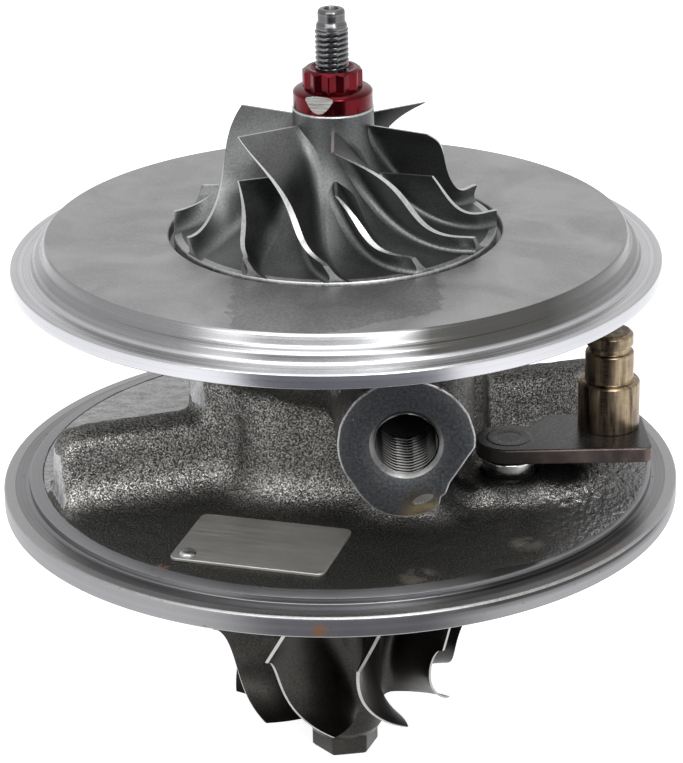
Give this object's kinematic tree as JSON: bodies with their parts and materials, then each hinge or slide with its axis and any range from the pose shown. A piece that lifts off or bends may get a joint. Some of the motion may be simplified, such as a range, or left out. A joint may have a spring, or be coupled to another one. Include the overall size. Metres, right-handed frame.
{
  "type": "turbo cartridge",
  "caption": "Turbocharger centre cartridge: bladed compressor and turbine wheels on one shaft in an oil-fed iron housing, with an aluminium seal plate and a vane lever.",
  "frame": {"origin": "rotor axis at the underside of the turbine flange", "axes": "+Z along the rotor axis towards the compressor wheel, -Y towards the oil inlet, +X towards the vane lever"},
  "size_m": [0.105, 0.105, 0.123],
  "materials": {
    "cast_iron": "blasted sand casting, machined rim",
    "plate_alloy": "die-cast face with turned edges",
    "steel": "ground",
    "seal_rubber": "matte",
    "bearing_bronze": "bored",
    "sheet_steel": "pressed sheet",
    "bush_steel": "polished",
    "tag_alloy": "satin, bare",
    "rivet_alloy": "plain",
    "turbine_alloy": "investment cast, ground edges",
    "wheel_alloy": "cast, blade edges machined bright",
    "nut_red": "red lacquer",
    "lever_steel": "dark oxide",
    "pin_steel": "turned, straw tint"
  },
  "bodies": {
    "housing": {"center_housing": "cast_iron", "seal_plate": "plate_alloy", "seal_plate_screws": "steel", "seal_plate_o_ring": "seal_rubber", "thrust_bearing": "bearing_bronze", "oil_deflector": "sheet_steel", "bearing_retaining_rings": "steel", "turbine_piston_ring": "steel", "compressor_piston_ring": "steel", "heat_shield": "sheet_steel", "lever_bush": "bush_steel", "nameplate": "tag_alloy", "nameplate_rivet": "rivet_alloy"},
    "rotor": {"turbine_wheel": "turbine_alloy", "rotor_shaft": "steel", "thrust_ring_lower": "steel", "thrust_ring_upper": "steel", "sealing_sleeve": "steel", "compressor_wheel": "wheel_alloy", "shaft_nut": "nut_red"},
    "bearing_turbine": {"journal_bearing_turbine": "bearing_bronze"},
    "bearing_compressor": {"journal_bearing_compressor": "bearing_bronze"},
    "lever": {"vane_lever": "lever_steel", "actuator_pin": "pin_steel", "lever_shaft": "lever_steel", "crank_arm": "lever_steel", "crank_pin": "steel"}
  },
  "joints": [
    {"name": "rotor_spin", "type": "hinge", "parent": "housing", "child": "rotor", "pos_m": [0, 0, 0], "axis": [0, 0, 1], "continuous": true},
    {"name": "bearing_turbine_spin", "type": "hinge", "parent": "housing", "child": "bearing_turbine", "pos_m": [0, 0, 0], "axis": [0, 0, 1], "continuous": true},
    {"name": "bearing_compressor_spin", "type": "hinge", "parent": "housing", "child": "bearing_compressor", "pos_m": [0, 0, 0], "axis": [0, 0, 1], "continuous": true},
    {"name": "lever_swing", "type": "hinge", "parent": "housing", "child": "lever", "pos_m": [0.02575, -0.01245, 0], "axis": [0, 0, 1], "range_deg": [-30, 25]}
  ]
}
